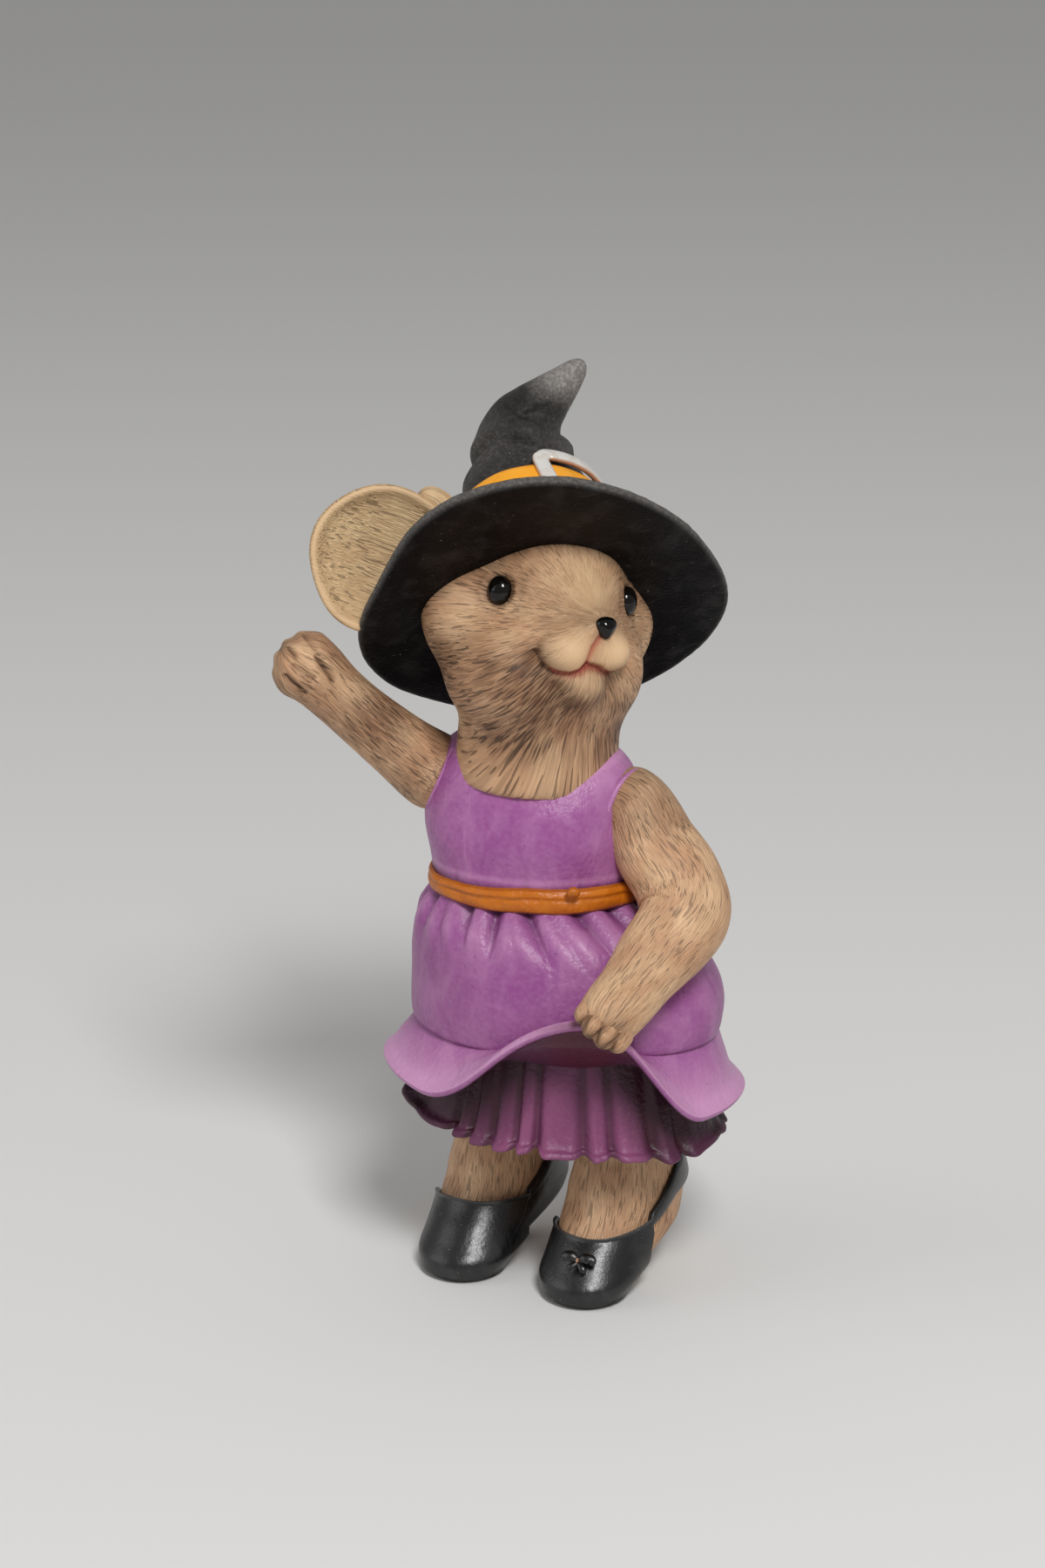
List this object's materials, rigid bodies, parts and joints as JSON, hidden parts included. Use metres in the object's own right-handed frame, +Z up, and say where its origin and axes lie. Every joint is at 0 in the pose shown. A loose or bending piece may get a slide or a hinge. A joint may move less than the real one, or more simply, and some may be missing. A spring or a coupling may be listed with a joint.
{
  "type": "mouse figurine",
  "caption": "Standing mouse figurine in a witch hat and dress, one paw raised to wave and the other lifting the hem.",
  "frame": {"origin": "on the floor, under the middle of the figure's bounding box", "axes": "+Z up, -Y to the figure's front, +X to the figure's left"},
  "size_m": [0.0626, 0.058, 0.1251],
  "materials": {
    "dress_paint": "hand-painted resin, satin purple with dark antiquing wash",
    "petticoat_paint": "hand-painted resin, dark purple with red-violet shadows",
    "sash_paint": "hand-painted resin, burnt orange with dark wash",
    "fur_paint": "hand-painted resin, tan fur strokes with brown wash",
    "ear_paint": "hand-painted resin, cream inner ear with fine grooves",
    "black_bead": "glossy black",
    "hat_paint": "satin black with worn grey edges",
    "band_paint": "bright orange",
    "silver_paint": "silver paint",
    "shoe_paint": "satin gunmetal black",
    "steel_wire": "bright steel wire"
  },
  "bodies": {
    "root": {"bodice": "dress_paint", "overskirt": "dress_paint", "petticoat": "petticoat_paint", "waist_sash": "sash_paint", "head": "fur_paint", "nose": "black_bead", "left_eye": "black_bead", "right_eye": "black_bead", "left_ear": "ear_paint", "right_ear": "ear_paint", "witch_hat": "hat_paint", "hat_band": "band_paint", "hat_buckle": "silver_paint", "left_arm": "fur_paint", "right_arm": "fur_paint", "left_leg": "fur_paint", "right_leg": "fur_paint", "left_shoe": "shoe_paint", "right_shoe": "shoe_paint", "left_shoe_strap": "shoe_paint", "right_shoe_strap": "shoe_paint", "left_shoe_bow": "silver_paint", "tail": "fur_paint", "neck_pin": "steel_wire", "left_shoulder_pin": "steel_wire", "right_shoulder_pin": "steel_wire", "left_leg_pin": "steel_wire", "right_leg_pin": "steel_wire", "hat_pin": "steel_wire"}
  },
  "joints": []
}
